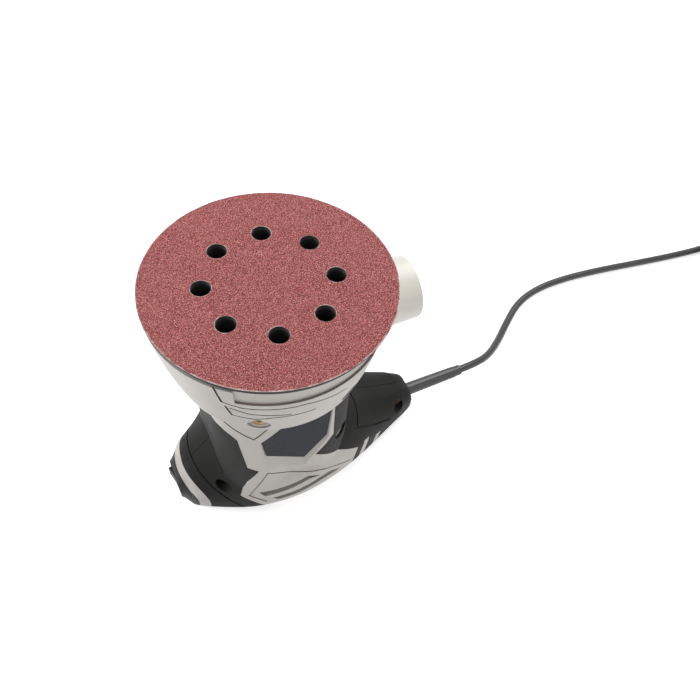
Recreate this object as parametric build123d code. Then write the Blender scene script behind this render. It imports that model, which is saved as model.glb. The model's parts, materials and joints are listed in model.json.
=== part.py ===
from build123d import *
import math
import os

# Random-orbit palm sander with a tail handle, standing upside down on its palm crown, abrasive disc up.
# Millimetres. The origin is on the motor axis, on the flat of the crown.
# +X is the tail, with cord and dust port.

# Stance, motion and clearances
FACE_Z = 168.0            # abrasive face above the crown's flat
ORBIT = 1.25              # pad axis from motor axis
RUN = 0.06                # radial running clearance in bearings and at the brushes
FIT = 0.02                # radial clearance of a fixed round fit
SEAT = 0.3                # free gap between neighbours
OVER = 1.0                # how far a cutting tool runs past its work

# Abrasive disc, pad and pad fastening
DISC_D = 125.0
DISC_T = 1.2
FACING_D = 121.6
FACING_T = 1.2
PAD_LIP_D = 122.4
PAD_LIP_T = 2.0
PAD_D = 109.0
PAD_T = 9.6               # lip included
PLATE_D = 102.0
PLATE_T = 4.0
HOLE_N = 8
HOLE_D = 10.0
HOLE_PCD = 65.0
HOLE_PHASE = 30.8         # degrees
WELL_D = 26.0             # well in the pad round its screw
SPINDLE_FLANGE_D = 16.0
SPINDLE_FLANGE_T = 8.0
PAD_SCREW_D = 6.0
PAD_SCREW_L = 14.0
PAD_SCREW_HEAD_D = 11.0
PAD_SCREW_HEAD_T = 4.0
HEX_KEY = 5.0
WASHER_D = 20.0
WASHER_T = 1.5

# Bearings: bore, outside, width
PAD_BEARING = (12.0, 28.0, 8.0)
FAN_END_BEARING = (10.0, 26.0, 8.0)
CROWN_END_BEARING = (7.0, 19.0, 6.0)
SHIELD_T = 0.9

# Fan with eccentric hub
FAN_D = 80.0
FAN_PLATE_T = 2.0
FAN_PLATE_Z = 129.0
HUB_D = 40.0
HUB_BOTTOM_Z = 123.5
BLADE_N = 10
BLADE_T = 2.0
BLADE_ROOT_R = 30.0
BLADE_TIP_R = 38.5
DUST_BLADE_H = 10.0
COOL_BLADE_H = 6.0
COUNTERWEIGHT_T = 6.0
COUNTERWEIGHT_ARC = 150.0
COUNTERWEIGHT_GAP = 0.5

# Motor
SHAFT_TIP_Z = 42.0
SHAFT_STEP_Z = 50.5
CROWN_BEARING_Z = 44.0
COMMUTATOR_D = 22.0
COMMUTATOR_Z = 54.0
COMMUTATOR_H = 11.0
ARMATURE_D = 32.0
STACK_Z = 74.0
STACK_H = 28.0
END_TURN_D = 29.0
END_TURN_H = 5.0
STATOR_D = 65.0
AIR_GAP = 0.6
COIL_HALF_W = 20.0
COIL_BAR = 6.0
COIL_Y = 17.5
COIL_T = 4.0
BRUSH_W = 5.0
BRUSH_H = 8.0
BRUSH_L = 13.0
HOLDER_WALL = 1.5
HOLDER_OUT = 37.0         # far end of a brush holder from the axis
SPRING_D = 4.0

# Skirt, bearing bracket and dust port
SKIRT_TOP_Z = 162.7
SKIRT_FOOT_Z = 116.5
SKIRT_RIM_R = 60.8
SKIRT_FOOT_R = 51.0
SKIRT_BULGE = 1.0
SKIRT_WALL = 2.6
SKIRT_FLOOR_T = 2.5
WEB_Z = 144.0
WEB_T = 2.5
WEB_HOLE_R = 43.0
BRAKE_R = 46.0
BRAKE_W = 3.5
BAND_DEPTH = 1.2
BAND_DROP = 11.0
BAND_HALF_ARC = 36.0
LINE_W = 0.9
LINE_DEPTH = 0.7
SKIRT_LINES = (
    ((-42.4, 163.5), (-39.6, 149.6), (-32.0, 147.3), (-4.0, 147.3), (18.0, 141.5)),
    ((-38.2, 145.3), (-35.5, 135.3), (-26.8, 134.0), (-17.5, 136.6), (1.1, 136.5)),
    ((-36.2, 144.2), (-28.9, 140.7), (-19.7, 139.8), (-11.0, 138.6)),
)
SKIRT_SCREW_ANGLES = (63.0, 117.0, 243.0, 297.0)
SKIRT_SCREW_Z = 125.0
SKIRT_POCKET_D = 11.4
SKIRT_POCKET_DEPTH = 2.4
NOTCH_D = 4.4
SKIRT_BOSS_D = 15.0
SCREW_D = 3.5
SCREW_HEAD_D = 7.2
SCREW_HEAD_T = 2.6
BRACKET_RIM_R = 46.5
BRACKET_RIM_W = 3.5
BRACKET_RIM_H = 12.0
BRACKET_WEB_T = 3.0
BRACKET_HUB_WALL = 4.0
BEARING_LIP = 2.0
SPIGOT_R = 36.8
SPIGOT_W = 2.4
SPIGOT_L = 9.0
AIR_WINDOW_N = 6
AIR_WINDOW_ARC = 40.0
PORT_Z = 130.0
PORT_D = 36.0
PORT_WALL = 2.4
PORT_END_X = 82.0
PORT_BASE_X = 50.0
PORT_SEAT_X = 62.0        # where the length that takes a hose begins
PORT_COLLAR = 0.8
PORT_STOP = 1.2
PORT_WINDOW_D = 23.0

# Clamshell housing: stations along X of half width, bottom, top, bottom corner radius,
# and width and height of the elliptical top corner
STATIONS = (
    (-60.0, 18.9, 1.4, 23.6, 6.5, 16.8, 14.5),
    (-52.0, 24.8, 0.0, 33.6, 10.5, 23.2, 21.8),
    (-43.0, 29.2, -0.6, 43.8, 11.0, 27.0, 30.5),
    (-24.0, 38.4, -0.6, 66.0, 16.0, 31.8, 40.0),
    (0.0, 42.8, -0.6, 72.0, 20.0, 33.4, 40.0),
    (24.0, 39.6, -0.6, 66.0, 18.6, 30.8, 36.6),
    (44.0, 33.8, -0.6, 51.4, 18.0, 24.5, 25.6),
    (60.0, 26.6, 1.0, 40.4, 12.0, 19.5, 20.6),
    (78.0, 18.8, 3.0, 32.8, 9.0, 13.6, 16.2),
    (89.0, 14.2, 4.7, 29.8, 6.0, 10.2, 14.0),
)
NOSE = ((-63.5, 13.4, 3.0, 21.2, 5.5, 10.2, 9.0), (-65.5, 11.8, 5.5, 18.5, 4.0, 6.5, 6.0))
TAIL = ((94.0, 11.8, 5.4, 27.2, 5.0, 8.0, 10.2), (96.5, 10.5, 6.6, 24.5, 4.5, 6.5, 7.0))
NECK_HALF_X = 40.3
NECK_HALF_Y = 40.5
NECK_CORNER = 27.0
NECK_BASE_Z = 26.0
WALL = 3.2
GRIP_T = 1.6
GROOVE_W = 1.0
GROOVE_DEPTH = 0.7
REACH = 80.0              # long enough to pass the housing's side

# Side-view outlines on the housing, as (x, z)
FRONT_GRIP = ((-32.0, 91.0), (-28.7, 61.7), (-23.1, 58.1), (-29.4, 44.2), (-34.1, 25.5), (-22.5, 13.1),
              (-10.0, -1.0), (-75.0, -1.0), (-75.0, 96.5), (-38.0, 96.5), (-34.5, 94.0))
REAR_GRIP = ((21.0, 117.0), (22.2, 70.2), (10.6, 56.5), (43.9, 29.1), (36.0, -1.0), (105.0, -1.0),
             (105.0, 117.0))
STRIPE_W = 4.5
STRIPES = (((51.6, 25.5), (43.5, -1.0)), ((63.4, 16.5), (57.0, -1.0)))
PLATE_OUTLINE = ((-20.6, 90.3), (-18.5, 74.1), (4.2, 55.9), (17.9, 73.0), (19.5, 100.1), (-6.8, 100.1))
BEVEL_OUTLINE = ((-22.3, 91.0), (-22.3, 66.5), (3.6, 48.6), (19.6, 72.0), (20.6, 102.6), (-7.3, 102.6))
PLATE_DEPTH = 2.0
PLATE_SHEET_T = 0.8
VENTS = (((-24.0, 30.3), (-20.8, 24.7), (7.2, 31.5), (15.2, 28.3), (5.8, 36.1)),
         ((-16.8, 21.4), (-13.0, 17.6), (16.3, 21.0), (30.4, 19.8), (22.2, 25.4), (14.6, 25.6)))
PANEL_LINE = ((-19.9, 17.4), (-29.2, 26.3), (-18.6, 54.6), (3.4, 42.2), (18.8, 32.4), (37.8, 20.5))
CHEVRON_LINE = ((-38.5, 107.0), (-24.4, 94.8), (-15.5, 107.0))
FRONT_LINE = ((-54.5, 34.0), (-50.9, 30.8), (-43.6, 22.7), (-33.8, 10.6), (-29.0, 4.0))
TAIL_LINE = ((52.0, 47.0), (49.6, 45.8), (45.2, 42.0), (61.5, 29.3), (74.0, 21.5))

# Housing screws: x, z, pocket floor from the parting plane, shank reach past the parting plane
HOUSING_SCREWS = ((-41.4, 30.0, 15.0, 12.0), (29.3, 63.0, 26.0, 14.0), (83.5, 24.0, 8.5, 8.0))
POCKET_D = 10.4
POCKET_WALL = 2.0
BOSS_D = 8.0
LINING_T = 1.2

# Ribs in the housing
RIB_T = 3.0
STATOR_RIBS = (77.0, 96.0)
SADDLE_HALF_W = 13.0
SADDLE_LIP = 1.0
BRUSH_SEAT_DEPTH = 9.0

# Nose: ring, panel, switch
RING_BACK_X = -59.2       # ring's back edge at the parting plane
RING_FRONT_X = -62.9
NOSE_SWEEP_R = 43.0       # ring and panel sweep back round the nose
NOSE_MID_Z = 12.0
SWITCH_W = 18.0
SWITCH_H = 11.0
SWITCH_L = 17.0
ROCKER_W = 14.0
ROCKER_H = 9.0
ROCKER_PROUD = 1.6
ROCKER_PIVOT_DEPTH = 4.0
ROCKER_TILT = 8.0
ROCKER_GAP = 1.0

# Cord, sleeve and clamp
CORD_D = 5.5
CORD_Z = 14.8
SLEEVE_D = 9.0
SLEEVE_TIP_D = 8.0
SLEEVE_END_X = 141.5
SLEEVE_FLANGE_D = 10.0
SLEEVE_FLANGE_T = 3.0
SLEEVE_STEP_L = 5.0
LEAD_X = 56.0             # inner end of the lead
CLAMP_X = 64.0
CLAMP_W = 7.0
CLAMP_H = 17.0
CLAMP_T = 3.0
CLAMP_SCREW_D = 2.6
CLAMP_SCREW_OFFSET = 6.5

# Put-away coil, tie and plug
COIL_X = 440.0
COIL_CENTRE_Y = -10.0
COIL_INNER_R = 22.0
COIL_GAP = 0.6
TURNS_IN = 3.5
TURNS_OUT = 4.0
TIE_T = 1.0
TIE_W = 12.0
TIE_ANGLE = 250.0
TAIL_RUN = 36.0
PLUG_L = 34.0
PLUG_W = 34.0
PLUG_ROUND = 6.0
RELIEF_L = 24.0
RELIEF_D = 9.0
PIN_D = 4.8
PIN_L = 19.0
PIN_SPACING = 19.0

# Levels and radii that follow
DISC_Z = FACE_Z - DISC_T
FACING_Z = DISC_Z - FACING_T
PAD_Z = FACING_Z - PAD_T
PLATE_Z = PAD_Z - PLATE_T
PAD_BEARING_Z = PLATE_Z - SPINDLE_FLANGE_T - PAD_BEARING[2]
HUB_TOP_Z = PAD_BEARING_Z + PAD_BEARING[2]
HUB_WEB_Z = PAD_BEARING_Z - 1.0
SHAFT_TOP_Z = HUB_WEB_Z - 3.0
BRACKET_Z = SKIRT_FOOT_Z + SKIRT_FLOOR_T
FAN_BEARING_Z = BRACKET_Z + BRACKET_WEB_T - BEARING_LIP - FAN_END_BEARING[2]
COMMUTATOR_MID_Z = COMMUTATOR_Z + COMMUTATOR_H / 2
CORD_R = CORD_D / 2
COIL_PITCH = CORD_D + COIL_GAP
COIL_LOW_Z = TIE_T + SEAT + CORD_R
COIL_HIGH_Z = COIL_LOW_Z + COIL_PITCH
COIL_START_R = COIL_INNER_R + TURNS_IN * COIL_PITCH
COIL_END_R = COIL_INNER_R + TURNS_OUT * COIL_PITCH

# Free cord from the sleeve to the coil, on the floor from the fifth point
CORD_ROUTE = (
    (SLEEVE_END_X, 0.0, CORD_Z),
    (155.0, 0.6, 13.8),
    (171.0, 5.4, 9.5),
    (188.0, 16.5, 4.8),
    (205.0, 30.0, CORD_R),
    (225.0, 44.0, CORD_R),
    (248.5, 50.5, CORD_R),
    (276.0, 51.0, CORD_R),
    (309.5, 47.5, CORD_R),
    (343.0, 42.3, CORD_R),
    (375.0, 37.6, CORD_R),
    (406.0, COIL_CENTRE_Y + COIL_START_R + 0.2, COIL_LOW_Z - 0.4),
    (COIL_X - CORD_D, COIL_CENTRE_Y + COIL_START_R, COIL_LOW_Z),
)

ON_BASE = (Align.CENTER, Align.CENTER, Align.MIN)

parts = {}


def cyl(radius, z0, z1, x=0.0, y=0.0):
    """Upright cylinder between two heights."""
    return Pos(x, y, z0) * Cylinder(radius, z1 - z0, align=ON_BASE)


def cyl_x(radius, x0, x1, y=0.0, z=0.0):
    """Cylinder along X."""
    return Pos(x0, y, z) * Rot(0, 90, 0) * Cylinder(radius, x1 - x0, align=ON_BASE)


def cyl_y(radius, y0, y1, x=0.0, z=0.0):
    """Cylinder along Y."""
    return Pos(x, y0, z) * Rot(-90, 0, 0) * Cylinder(radius, y1 - y0, align=ON_BASE)


def ring(outer, inner, z0, z1, x=0.0, y=0.0):
    """Upright ring between two heights."""
    return cyl(outer, z0, z1, x, y) - cyl(inner, z0 - OVER, z1 + OVER, x, y)


def block(x0, x1, y0, y1, z0, z1):
    """Box between two corners."""
    return Pos(x0, y0, z0) * Box(x1 - x0, y1 - y0, z1 - z0, align=(Align.MIN, Align.MIN, Align.MIN))


def prism_xz(points, y0, y1):
    """Side-view outline carried from one Y to another."""
    wire = Wire.make_polygon([Vector(x, y0, z) for x, z in points], close=True)
    return extrude(Face(wire), amount=y1 - y0, dir=(0, 1, 0))


def wedge(half_arc, middle, radius, z0, z1):
    """Pie slice of the given half angle about a middle direction, in degrees."""
    a0 = math.radians(middle - half_arc)
    a1 = math.radians(middle + half_arc)
    am = math.radians(middle)
    far = radius / math.cos(math.radians(half_arc))
    corners = [(0, 0), (far * math.cos(a0), far * math.sin(a0))]
    corners.append((2 * radius * math.cos(am), 2 * radius * math.sin(am)))
    corners.append((far * math.cos(a1), far * math.sin(a1)))
    wire = Wire.make_polygon([Vector(x, y, z0) for x, y in corners], close=True)
    return extrude(Face(wire), amount=z1 - z0, dir=(0, 0, 1))


def around(shape, count, phase=0.0, x=0.0, y=0.0):
    """Copies of a shape turned about an upright axis."""
    return [Pos(x, y, 0) * Rot(0, 0, phase + 360.0 * i / count) * shape for i in range(count)]


def keep(name, shape):
    """Store a node; a list becomes a group of separate solids."""
    if isinstance(shape, (list, tuple)):
        solids = [s for item in shape for s in item.solids()]
    else:
        solids = shape.solids()
    parts[name] = Compound(children=solids) if len(solids) > 1 else solids[0]


def bearing(size, z, x=0.0):
    """Shielded ball bearing as its outer and inner ring."""
    bore, outside, width = size
    depth = (outside - bore) / 2
    inner_r = bore / 2 + 0.3 * depth
    race_r = outside / 2 - 0.3 * depth
    outer = ring(outside / 2, inner_r + RUN, z, z + width, x)
    outer -= ring(race_r, inner_r, z + SHIELD_T, z + width - SHIELD_T, x)
    inner = ring(inner_r, bore / 2, z, z + width, x)
    return outer, inner


def dust_holes(z0, z1):
    """The ring of dust holes, as one cutter."""
    hole = cyl(HOLE_D / 2, z0 - OVER, z1 + OVER, HOLE_PCD / 2)
    return around(hole, HOLE_N, HOLE_PHASE, ORBIT)


def pad_pieces():
    """Everything on the pad axis."""
    disc = cyl(DISC_D / 2, DISC_Z, FACE_Z, ORBIT) - dust_holes(DISC_Z, FACE_Z)
    keep("abrasive_disc", disc)
    facing = ring(FACING_D / 2, WELL_D / 2, FACING_Z, DISC_Z, ORBIT) - dust_holes(FACING_Z, DISC_Z)
    keep("hook_facing", facing)
    pad = cyl(PAD_LIP_D / 2, FACING_Z - PAD_LIP_T, FACING_Z, ORBIT) + cyl(PAD_D / 2, PAD_Z, FACING_Z, ORBIT)
    pad -= cyl(WELL_D / 2, PAD_Z - OVER, FACING_Z + OVER, ORBIT)
    keep("backing_pad", pad - dust_holes(PAD_Z, FACING_Z))
    plate = ring(PLATE_D / 2, PAD_SCREW_D / 2 + FIT, PLATE_Z, PAD_Z, ORBIT)
    keep("pad_plate", plate - dust_holes(PLATE_Z, PAD_Z))
    spindle = cyl(SPINDLE_FLANGE_D / 2, PLATE_Z - SPINDLE_FLANGE_T, PLATE_Z, ORBIT)
    spindle += cyl(PAD_BEARING[0] / 2 - FIT, PAD_BEARING_Z, PLATE_Z, ORBIT)
    screw_tip = PAD_Z - PAD_SCREW_L
    spindle -= cyl(PAD_SCREW_D / 2 + FIT, screw_tip, PLATE_Z + OVER, ORBIT)
    keep("pad_spindle", spindle)
    keep("pad_washer", ring(WASHER_D / 2, PAD_SCREW_D / 2 + FIT, PAD_Z, PAD_Z + WASHER_T, ORBIT))
    head_z = PAD_Z + WASHER_T
    screw = cyl(PAD_SCREW_D / 2, screw_tip, head_z, ORBIT)
    screw += cyl(PAD_SCREW_HEAD_D / 2, head_z, head_z + PAD_SCREW_HEAD_T, ORBIT)
    socket = extrude(Plane(origin=(ORBIT, 0, head_z + PAD_SCREW_HEAD_T / 2)) * RegularPolygon(HEX_KEY / 2, 6,
                     major_radius=False), amount=PAD_SCREW_HEAD_T)
    keep("pad_screw", screw - socket)
    outer, inner = bearing(PAD_BEARING, PAD_BEARING_Z, ORBIT)
    keep("pad_bearing_outer_ring", outer)
    keep("pad_bearing_inner_ring", inner)


def fan_pieces():
    """Two-sided fan with the eccentric bearing pocket, and its counterweight."""
    plate_top = FAN_PLATE_Z + FAN_PLATE_T
    fan = cyl(FAN_D / 2, FAN_PLATE_Z, plate_top) + cyl(HUB_D / 2, HUB_BOTTOM_Z, HUB_TOP_Z)
    dust_blade = block(BLADE_ROOT_R, BLADE_TIP_R, -BLADE_T / 2, BLADE_T / 2, plate_top - OVER,
                       plate_top + DUST_BLADE_H)
    cool_blade = block(BLADE_ROOT_R, BLADE_TIP_R, -BLADE_T / 2, BLADE_T / 2, FAN_PLATE_Z - COOL_BLADE_H,
                       FAN_PLATE_Z + OVER)
    fan += around(dust_blade, BLADE_N)
    fan += around(cool_blade, BLADE_N, 180.0 / BLADE_N)
    fan -= cyl(PAD_BEARING[1] / 2 + FIT, PAD_BEARING_Z, HUB_TOP_Z + OVER, ORBIT)
    fan -= cyl(PAD_BEARING[0] / 2 + OVER, HUB_WEB_Z, PAD_BEARING_Z + OVER, ORBIT)
    fan -= cyl(FAN_END_BEARING[0] / 2 + FIT, HUB_BOTTOM_Z - OVER, SHAFT_TOP_Z)
    keep("fan_eccentric", fan)
    weight = ring(BLADE_ROOT_R - COUNTERWEIGHT_GAP, HUB_D / 2 + FIT, plate_top, plate_top + COUNTERWEIGHT_T)
    keep("counterweight", weight & wedge(COUNTERWEIGHT_ARC / 2, 180.0, FAN_D, plate_top - OVER, HUB_TOP_Z))


def rotor_pieces():
    """Armature and what turns with it."""
    shaft_r = FAN_END_BEARING[0] / 2
    shaft = cyl(shaft_r, SHAFT_STEP_Z, SHAFT_TOP_Z)
    shaft += cyl(CROWN_END_BEARING[0] / 2 - FIT, SHAFT_TIP_Z, SHAFT_STEP_Z)
    keep("armature_shaft", shaft)
    bore = shaft_r + FIT
    keep("armature_core", ring(ARMATURE_D / 2, bore, STACK_Z, STACK_Z + STACK_H))
    low = ring(END_TURN_D / 2, bore, STACK_Z - END_TURN_H, STACK_Z)
    high = ring(END_TURN_D / 2, bore, STACK_Z + STACK_H, STACK_Z + STACK_H + END_TURN_H)
    keep("armature_winding", [low, high])
    keep("commutator", ring(COMMUTATOR_D / 2, bore, COMMUTATOR_Z, COMMUTATOR_Z + COMMUTATOR_H))
    outer, inner = bearing((2 * bore, FAN_END_BEARING[1], FAN_END_BEARING[2]), FAN_BEARING_Z)
    keep("fan_end_bearing_outer_ring", outer)
    keep("fan_end_bearing_inner_ring", inner)
    outer, inner = bearing(CROWN_END_BEARING, CROWN_BEARING_Z)
    keep("crown_end_bearing_outer_ring", outer)
    keep("crown_end_bearing_inner_ring", inner)


def stator_pieces():
    """Field stack, its two coils and the brush gear."""
    core = ring(STATOR_D / 2, ARMATURE_D / 2 + AIR_GAP, STACK_Z, STACK_Z + STACK_H)
    inner_w = COIL_HALF_W - COIL_BAR
    coils = []
    for side in (-1, 1):
        y0 = min(side * COIL_Y, side * (COIL_Y + COIL_T))
        y1 = y0 + COIL_T
        loop = block(-COIL_HALF_W, COIL_HALF_W, y0, y1, STACK_Z - COIL_BAR, STACK_Z + STACK_H + COIL_BAR)
        loop -= block(-inner_w, inner_w, y0 - OVER, y1 + OVER, STACK_Z - FIT, STACK_Z + STACK_H + FIT)
        coils.append(loop)
        for x0 in (-COIL_HALF_W, inner_w):
            core -= block(x0 - FIT, x0 + COIL_BAR + FIT, y0 - FIT, y1 + FIT, STACK_Z - OVER,
                          STACK_Z + STACK_H + OVER)
    keep("stator_core", core)
    keep("stator_coils", coils)
    holders = []
    brushes = []
    springs = []
    brush_face = COMMUTATOR_D / 2 + RUN
    brush_end = brush_face + BRUSH_L
    mid = COMMUTATOR_MID_Z
    for side in (-1, 1):
        turn = Rot(0, 0, 0 if side > 0 else 180)
        half_w = BRUSH_W / 2 + FIT
        half_h = BRUSH_H / 2 + FIT
        shell = block(-half_w - HOLDER_WALL, half_w + HOLDER_WALL, brush_face + HOLDER_WALL, HOLDER_OUT,
                      mid - half_h - HOLDER_WALL, mid + half_h + HOLDER_WALL)
        shell -= block(-half_w, half_w, 0, HOLDER_OUT - HOLDER_WALL, mid - half_h, mid + half_h)
        holders.append(turn * shell)
        brush = block(-BRUSH_W / 2, BRUSH_W / 2, 0, brush_end, mid - BRUSH_H / 2, mid + BRUSH_H / 2)
        brush -= cyl(brush_face, COMMUTATOR_Z - OVER, COMMUTATOR_Z + COMMUTATOR_H + OVER)
        brushes.append(turn * brush)
        springs.append(turn * cyl_y(SPRING_D / 2, brush_end, HOLDER_OUT - HOLDER_WALL, 0, mid))
    keep("brush_holders", holders)
    keep("carbon_brushes", brushes)
    keep("brush_springs", springs)


def skirt_arc():
    """Three points of the skirt's outer line, as (radius, height)."""
    mid_r = (SKIRT_RIM_R + SKIRT_FOOT_R) / 2 + SKIRT_BULGE
    mid_z = (SKIRT_TOP_Z + SKIRT_FOOT_Z) / 2
    return (SKIRT_RIM_R, SKIRT_TOP_Z), (mid_r, mid_z), (SKIRT_FOOT_R, SKIRT_FOOT_Z)


def skirt_solid(inset):
    """Solid of revolution inside the skirt's outer line."""
    (r0, z0), (r1, z1), (r2, z2) = [(r - inset, z) for r, z in skirt_arc()]
    side = Edge.make_three_point_arc(Vector(r0, 0, z0), Vector(r1, 0, z1), Vector(r2, 0, z2))
    low = Edge.make_line(Vector(r2, 0, z2), Vector(0, 0, z2))
    axis = Edge.make_line(Vector(0, 0, z2), Vector(0, 0, z0))
    top = Edge.make_line(Vector(0, 0, z0), Vector(r0, 0, z0))
    return revolve(Face(Wire([side, low, axis, top])), Axis.Z)


def skirt_pieces():
    """Fan shroud, its screws, pad brake ring and dust port."""
    outer = skirt_solid(0)
    inner = skirt_solid(SKIRT_WALL)
    skirt = outer - inner
    skirt += inner & ring(SKIRT_RIM_R, WEB_HOLE_R, WEB_Z, WEB_Z + WEB_T)
    skirt += inner & ring(SKIRT_RIM_R, SPIGOT_R + SEAT, SKIRT_FOOT_Z, SKIRT_FOOT_Z + SKIRT_FLOOR_T)
    bosses = []
    cutters = []
    screws = []
    for angle in SKIRT_SCREW_ANGLES:
        turn = Rot(0, 0, angle)
        boss_in = BRACKET_RIM_R + SEAT
        bosses.append(turn * cyl_x(SKIRT_BOSS_D / 2, boss_in, SKIRT_RIM_R, 0, SKIRT_SCREW_Z))
        floor_r = SKIRT_FOOT_R - SKIRT_POCKET_DEPTH
        pocket = cyl_x(SKIRT_POCKET_D / 2, floor_r + SCREW_HEAD_T, SKIRT_RIM_R + OVER, 0, SKIRT_SCREW_Z)
        pocket += cyl_x(SCREW_HEAD_D / 2 + SEAT, floor_r, SKIRT_RIM_R, 0, SKIRT_SCREW_Z)
        notch_z = SKIRT_SCREW_Z + SKIRT_POCKET_D / 2
        pocket += cyl_x(NOTCH_D / 2, floor_r + SCREW_HEAD_T, SKIRT_RIM_R, 0, notch_z)
        pocket += cyl_x(SCREW_D / 2 + FIT, boss_in - OVER, floor_r + OVER, 0, SKIRT_SCREW_Z)
        cutters.append(turn * pocket)
        screw = cyl_x(SCREW_D / 2, BRACKET_RIM_R - BRACKET_RIM_W, floor_r + OVER, 0, SKIRT_SCREW_Z)
        screw += cyl_x(SCREW_HEAD_D / 2, floor_r, floor_r + SCREW_HEAD_T, 0, SKIRT_SCREW_Z)
        screws.append(turn * screw)
    for boss in bosses:
        skirt += boss & inner
    skirt -= cutters
    skirt -= cyl_x(PORT_WINDOW_D / 2, WEB_HOLE_R, SKIRT_RIM_R + OVER, 0, (WEB_Z + BRACKET_Z) / 2)
    low = SKIRT_TOP_Z - BAND_DROP
    band = outer - skirt_solid(BAND_DEPTH)
    for middle in (90, 270):
        skirt -= band & wedge(BAND_HALF_ARC, middle, SKIRT_RIM_R, low, SKIRT_TOP_Z + OVER)
    line_skin = outer - skirt_solid(LINE_DEPTH)
    for line in SKIRT_LINES:
        for strip in line_strip(line, LINE_W):
            skirt -= line_skin & strip
    keep("skirt", skirt)
    keep("skirt_screws", screws)
    brake_top = PLATE_Z - 2 * SEAT
    keep("brake_ring", ring(BRAKE_R + BRAKE_W, BRAKE_R, WEB_Z + WEB_T, brake_top))
    bore = PORT_D / 2 - PORT_WALL
    port = cyl_x(PORT_D / 2 + PORT_COLLAR, PORT_BASE_X, PORT_SEAT_X, 0, PORT_Z)
    port += cyl_x(PORT_D / 2, PORT_BASE_X, PORT_END_X, 0, PORT_Z)
    port -= cyl_x(bore - PORT_STOP, PORT_BASE_X - OVER, PORT_END_X, 0, PORT_Z)
    port -= cyl_x(bore, PORT_SEAT_X, PORT_END_X + OVER, 0, PORT_Z)
    port -= outer
    rim = port.edges().filter_by(GeomType.CIRCLE).group_by(Axis.X)[-1]
    port = fillet(rim, PORT_WALL / 4)
    keep("dust_port", port)


def bracket_piece():
    """Bearing bracket between motor and fan, held under the skirt and in the mouth of the housing."""
    web_top = BRACKET_Z + BRACKET_WEB_T
    pocket_r = FAN_END_BEARING[1] / 2 + FIT
    pocket_top = FAN_BEARING_Z + FAN_END_BEARING[2]
    hub_r = pocket_r + BRACKET_HUB_WALL
    bracket = cyl(BRACKET_RIM_R, BRACKET_Z, web_top)
    bracket += ring(BRACKET_RIM_R, BRACKET_RIM_R - BRACKET_RIM_W, BRACKET_Z, BRACKET_Z + BRACKET_RIM_H)
    bracket += ring(SPIGOT_R, SPIGOT_R - SPIGOT_W, BRACKET_Z - SPIGOT_L, BRACKET_Z + OVER)
    bracket += cyl(hub_r, FAN_BEARING_Z, web_top)
    bracket -= cyl(pocket_r, FAN_BEARING_Z - OVER, pocket_top)
    bracket -= cyl(FAN_END_BEARING[1] / 2 - BEARING_LIP, FAN_BEARING_Z, web_top + OVER)
    window = ring(SPIGOT_R - SPIGOT_W - OVER, HUB_D / 2 + 2 * OVER, BRACKET_Z - OVER, web_top + OVER)
    window &= wedge(AIR_WINDOW_ARC / 2, 0, BRACKET_RIM_R, BRACKET_Z - OVER, web_top + OVER)
    bracket -= around(window, AIR_WINDOW_N)
    for angle in SKIRT_SCREW_ANGLES:
        hole = cyl_x(SCREW_D / 2 + FIT, SPIGOT_R, BRACKET_RIM_R + OVER, 0, SKIRT_SCREW_Z)
        bracket -= Rot(0, 0, angle) * hole
    keep("bearing_bracket", bracket)


def station_face(x, half_w, low, high, low_r, top_w, top_h, inset):
    """Cross-section of the housing: flat crown, sides and top joined by round or elliptical corners."""
    w = half_w - inset
    z0 = low + inset
    z1 = high - inset
    a = low_r - inset
    b = top_w - inset
    c = top_h - inset
    k = 1 - 4 / 3 * (math.sqrt(2) - 1)
    half = [[(w - a, z0), (w - a * k, z0), (w, z0 + a * k), (w, z0 + a)]]
    half.append([(w, z1 - c), (w, z1 - c * k), (w - b * k, z1), (w - b, z1)])
    corners = half + [[(-y, z) for y, z in reversed(corner)] for corner in reversed(half)]
    edges = []
    for i, corner in enumerate(corners):
        points = [Vector(x, y, z) for y, z in corner]
        edges.append(Edge.make_bezier(*points))
        y, z = corners[(i + 1) % 4][0]
        edges.append(Edge.make_line(points[-1], Vector(x, y, z)))
    return Face(Wire(edges))


def body(inset, mouth=0.0):
    """The whole housing form drawn in by an inset; its neck ends a mouth above the skirt's foot."""
    mains = [station_face(*s, inset) for s in STATIONS]
    solid = loft(mains)
    for base, cap in ((STATIONS[0], NOSE), (STATIONS[-1], TAIL)):
        rows = [base] + list(cap)
        way = 1 if cap[-1][0] > base[0] else -1
        last = len(rows) - 1
        faces = [station_face(r[0] - way * inset * i / last, *r[1:], inset) for i, r in enumerate(rows)]
        for pair in zip(faces[:-1], faces[1:]):
            solid += loft(list(pair), ruled=True)
    outline = RectangleRounded(2 * (NECK_HALF_X - inset), 2 * (NECK_HALF_Y - inset), NECK_CORNER - inset)
    solid += extrude(Pos(0, 0, NECK_BASE_Z) * outline, amount=SKIRT_FOOT_Z + mouth - NECK_BASE_Z)
    return solid & block(-2 * REACH, 2 * REACH, -REACH, REACH, 0, 2 * REACH)


def line_strip(points, width):
    """Band of a given width along a side-view polyline, through the whole housing."""
    strips = []
    for (x0, z0), (x1, z1) in zip(points[:-1], points[1:]):
        length = math.hypot(x1 - x0, z1 - z0)
        nx = -(z1 - z0) / length * width / 2
        nz = (x1 - x0) / length * width / 2
        ex = (x1 - x0) / length * width / 2
        ez = (z1 - z0) / length * width / 2
        quad = ((x0 - ex + nx, z0 - ez + nz), (x1 + ex + nx, z1 + ez + nz), (x1 + ex - nx, z1 + ez - nz),
                (x0 - ex - nx, z0 - ez - nz))
        strips.append(prism_xz(quad, -REACH, REACH))
    return strips


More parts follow.
